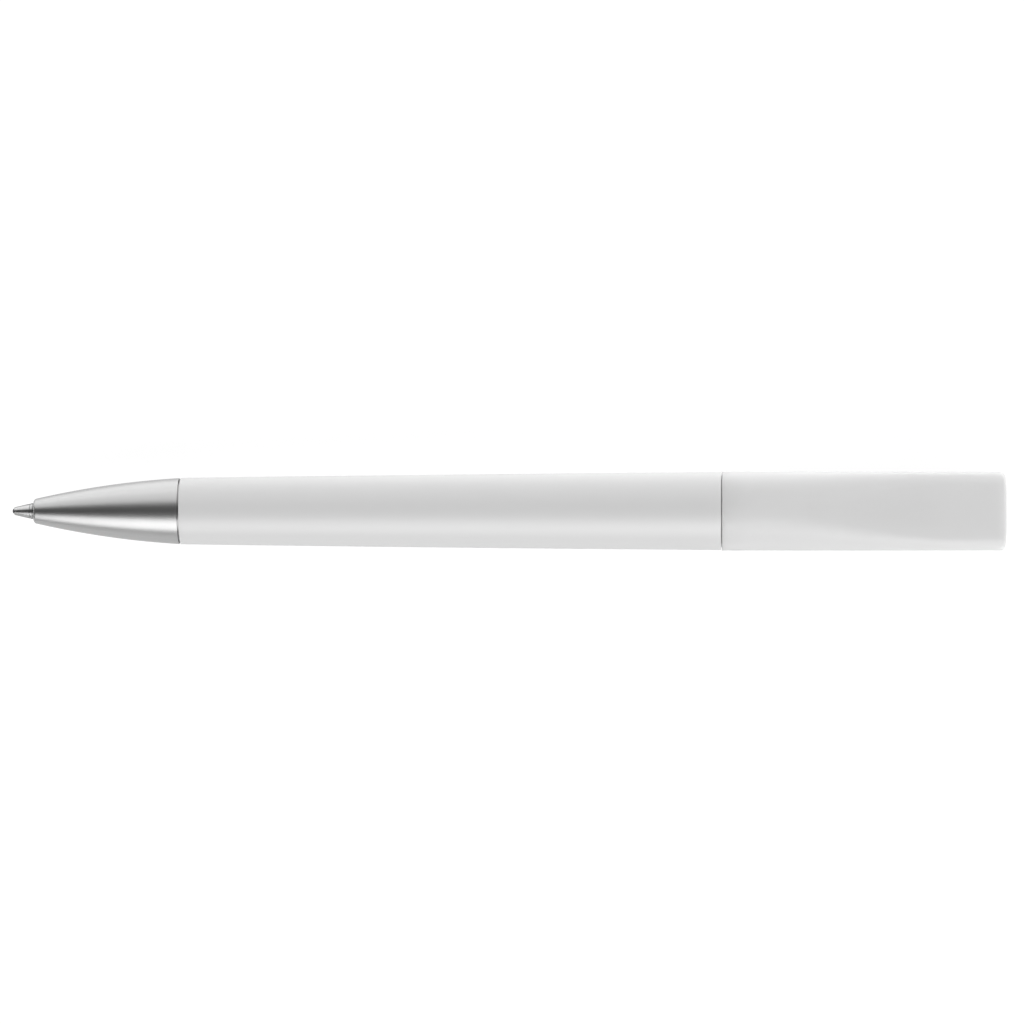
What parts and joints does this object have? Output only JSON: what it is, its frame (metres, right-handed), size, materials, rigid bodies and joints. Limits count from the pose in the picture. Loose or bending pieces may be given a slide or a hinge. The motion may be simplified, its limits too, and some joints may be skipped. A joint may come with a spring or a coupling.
{
  "type": "twist ballpoint pen",
  "caption": "Slim twist-action ballpoint pen with a metal nose, a white barrel and a turning top that flattens to a wedge and carries a wide clip; the top screws the refill in and out.",
  "frame": {"origin": "middle of the pen's length, on the plane of the clip's outer face, under the pen's axis", "axes": "+X along the pen from the writing point to the end of the top, +Z from the clip through the pen to the back of the top, +Y across the clip"},
  "size_m": [0.14, 0.011, 0.0137],
  "materials": {
    "barrel_plastic": "satin",
    "top_plastic": "smooth semi-gloss",
    "nose_metal": "satin",
    "tip_metal": "nickel, polished",
    "ball_carbide": "polished",
    "ferrule_brass": "turned",
    "refill_steel": "drawn",
    "spring_steel": "drawn",
    "pale_acetal": "moulded",
    "grey_acetal": "moulded",
    "dark_rubber": "matt",
    "ink": "liquid"
  },
  "bodies": {
    "barrel": {"barrel": "barrel_plastic", "nose_cone": "nose_metal", "return_spring": "spring_steel", "guide_sleeve": "pale_acetal", "retaining_ring": "spring_steel", "friction_ring": "dark_rubber"},
    "top": {"top_shell": "top_plastic", "cam_rotor": "grey_acetal"},
    "clip": {"clip": "top_plastic"},
    "refill": {"slider": "grey_acetal", "refill_tube": "refill_steel", "refill_ferrule": "ferrule_brass", "refill_tip": "tip_metal", "refill_plug": "grey_acetal", "ink": "ink"},
    "ball": {"writing_ball": "ball_carbide"}
  },
  "joints": [
    {"name": "cap_twist", "type": "hinge", "parent": "barrel", "child": "top", "pos_m": [0.0301, 0, 0.0082], "axis": [1, 0, 0], "range_deg": [0, 180]},
    {"name": "refill_slide", "type": "slide", "parent": "barrel", "child": "refill", "axis": [1, 0, 0], "range_m": [0, 0.006], "deforming": ["return_spring"]},
    {"name": "clip_flex", "type": "hinge", "parent": "top", "child": "clip", "pos_m": [0.06972, 0, 0.0026], "axis": [0, -1, 0], "range_deg": [0, 4], "stiffness_Nm_per_rad": 0.95},
    {"name": "ball_roll", "type": "hinge", "parent": "refill", "child": "ball", "pos_m": [-0.06955, 0, 0.0082], "axis": [0, 1, 0], "continuous": true}
  ],
  "couplings": [
    {"joint": "cap_twist", "follows": "refill_slide", "rad_per_m": 523.6}
  ]
}
